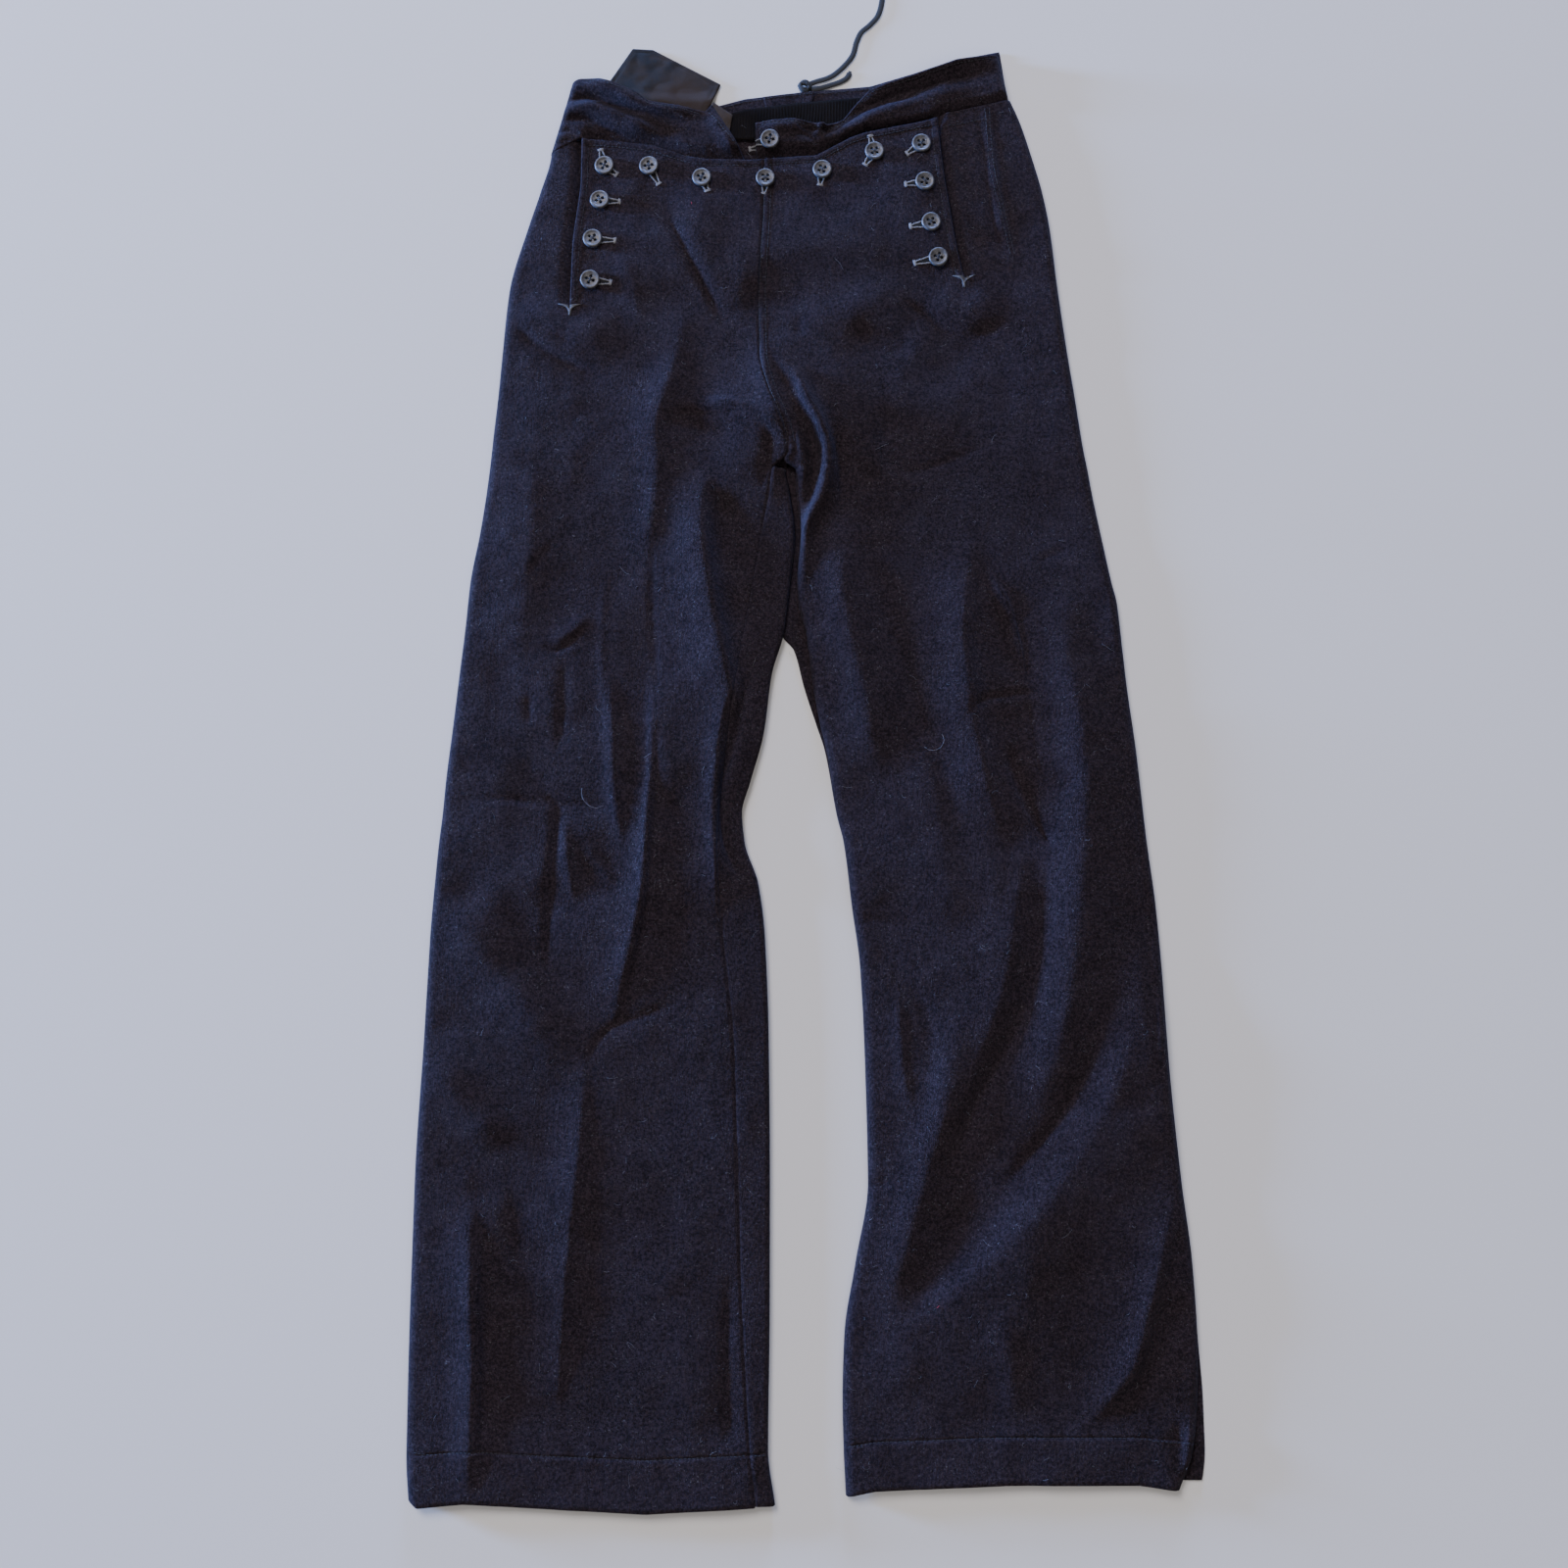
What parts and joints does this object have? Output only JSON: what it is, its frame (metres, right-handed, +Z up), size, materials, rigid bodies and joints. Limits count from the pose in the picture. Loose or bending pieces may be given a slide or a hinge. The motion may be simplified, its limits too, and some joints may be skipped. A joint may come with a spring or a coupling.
{
  "type": "sailor trousers",
  "caption": "Broadfall wool trousers with wide straight legs, buttoned front flap, waistband, lacing at the back and an inside pocket bag turned up over the waist, laid flat.",
  "frame": {"origin": "bottom centre of the laid garment's box, without the loose lace, on the surface it lies on", "axes": "+X towards the wearer's left, +Y from the hems to the waist, +Z up from the surface"},
  "size_m": [0.5546, 1.1706, 0.0236],
  "materials": {
    "wool": "heavy melton, matt nap",
    "twill": "cotton twill, matt",
    "sateen": "worn cotton sateen",
    "plastic": "satin moulded",
    "lace": "cotton braid and thread"
  },
  "bodies": {
    "root": {"front_right": "wool", "front_left": "wool", "back_right": "wool", "back_left": "wool", "waistband_front_right": "wool", "waistband_front_left": "wool", "waistband_back_right": "wool", "waistband_back_left": "wool", "bearer_right": "wool", "bearer_left": "wool", "gusset": "twill", "band_facing_back": "twill", "band_lining_right": "twill", "pocket_bag": "sateen", "button_top_1": "plastic", "button_top_2": "plastic", "button_top_3": "plastic", "button_top_4": "plastic", "button_top_5": "plastic", "button_top_6": "plastic", "button_top_7": "plastic", "button_right_1": "plastic", "button_right_2": "plastic", "button_right_3": "plastic", "button_left_1": "plastic", "button_left_2": "plastic", "button_left_3": "plastic", "button_band": "plastic", "lacing_1": "lace", "lacing_2": "lace", "lacing_3": "lace", "lace_knot": "lace", "lace_long": "lace", "lace_short": "lace"}
  },
  "joints": []
}
